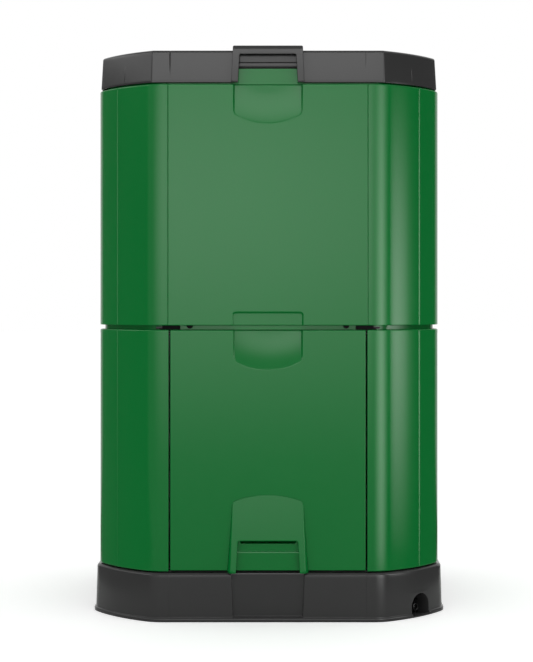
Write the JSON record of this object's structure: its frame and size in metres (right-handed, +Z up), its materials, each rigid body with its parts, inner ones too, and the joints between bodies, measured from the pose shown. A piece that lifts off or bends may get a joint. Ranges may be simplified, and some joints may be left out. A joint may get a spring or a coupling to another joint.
{
  "type": "compost bin",
  "caption": "Square insulated compost bin: double-walled tiers on a reservoir base with a tap, hinged lid with grip, hinged lower doors, slotted floor and air core.",
  "frame": {"origin": "centre of the bounding box at the ground", "axes": "+Z up, +X to the right seen from the front, the front door faces -Y"},
  "size_m": [0.75, 0.75, 1.19],
  "materials": {
    "green_plastic": "moulded green polypropylene with a fine satin grain",
    "green_liner_plastic": "smooth moulded green polypropylene",
    "grey_lid_plastic": "moulded grey polypropylene with a fine satin grain",
    "grey_base_plastic": "moulded dark grey polyethylene with a fine satin grain",
    "black_plastic": "moulded black plastic",
    "black_rubber": "soft black rubber",
    "insulating_foam": "closed-cell insulating foam, off-white",
    "steel": "zinc-plated steel"
  },
  "bodies": {
    "bin": {"base_reservoir": "grey_base_plastic", "floor_grate": "black_plastic", "tap_body": "black_plastic", "tap_nut": "black_plastic", "tap_seal": "black_rubber", "core_foot": "black_plastic", "core_lower": "black_plastic", "core_upper": "black_plastic", "core_cap": "black_plastic", "left_lower_shell": "green_plastic", "left_lower_foam": "insulating_foam", "left_lower_liner": "green_liner_plastic", "right_lower_shell": "green_plastic", "right_lower_foam": "insulating_foam", "right_lower_liner": "green_liner_plastic", "left_upper_shell": "green_plastic", "left_upper_foam": "insulating_foam", "left_upper_liner": "green_liner_plastic", "right_upper_shell": "green_plastic", "right_upper_foam": "insulating_foam", "right_upper_liner": "green_liner_plastic", "front_panel_shell": "green_plastic", "front_panel_foam": "insulating_foam", "front_panel_liner": "green_liner_plastic", "back_panel_shell": "green_plastic", "back_panel_foam": "insulating_foam", "back_panel_liner": "green_liner_plastic", "mid_band": "green_plastic", "seam_clips": "black_plastic", "seam_lugs": "black_plastic", "door_pins": "black_plastic", "top_rim": "green_plastic", "hinge_brackets": "grey_lid_plastic", "hinge_pins": "steel", "bracket_screws": "steel"},
    "lid": {"lid_shell": "grey_lid_plastic", "lid_foam": "insulating_foam", "lid_liner": "grey_lid_plastic", "lid_seal": "black_rubber", "lid_handle": "grey_lid_plastic", "lid_hinge_arms": "grey_lid_plastic", "lid_screws": "steel"},
    "front_door": {"front_door_shell": "green_plastic", "front_door_foam": "insulating_foam", "front_door_liner": "green_liner_plastic", "front_door_handle": "green_plastic", "front_door_screws": "steel"},
    "back_door": {"back_door_shell": "green_plastic", "back_door_foam": "insulating_foam", "back_door_liner": "green_liner_plastic", "back_door_handle": "green_plastic", "back_door_screws": "steel"},
    "tap_lever": {"tap_lever": "black_plastic"}
  },
  "joints": [
    {"name": "lid_hinge", "type": "hinge", "parent": "bin", "child": "lid", "pos_m": [0, 0.3685, 1.112], "axis": [-1, 0, 0], "range_deg": [0, 100]},
    {"name": "front_door_hinge", "type": "hinge", "parent": "bin", "child": "front_door", "pos_m": [0, -0.355, 0.594], "axis": [-1, 0, 0], "range_deg": [0, 100]},
    {"name": "back_door_hinge", "type": "hinge", "parent": "bin", "child": "back_door", "pos_m": [0, 0.355, 0.594], "axis": [1, 0, 0], "range_deg": [0, 100]},
    {"name": "tap_turn", "type": "hinge", "parent": "bin", "child": "tap_lever", "pos_m": [0.30134, -0.27687, 0.028], "axis": [0, 0, 1], "range_deg": [-90, 0]}
  ]
}
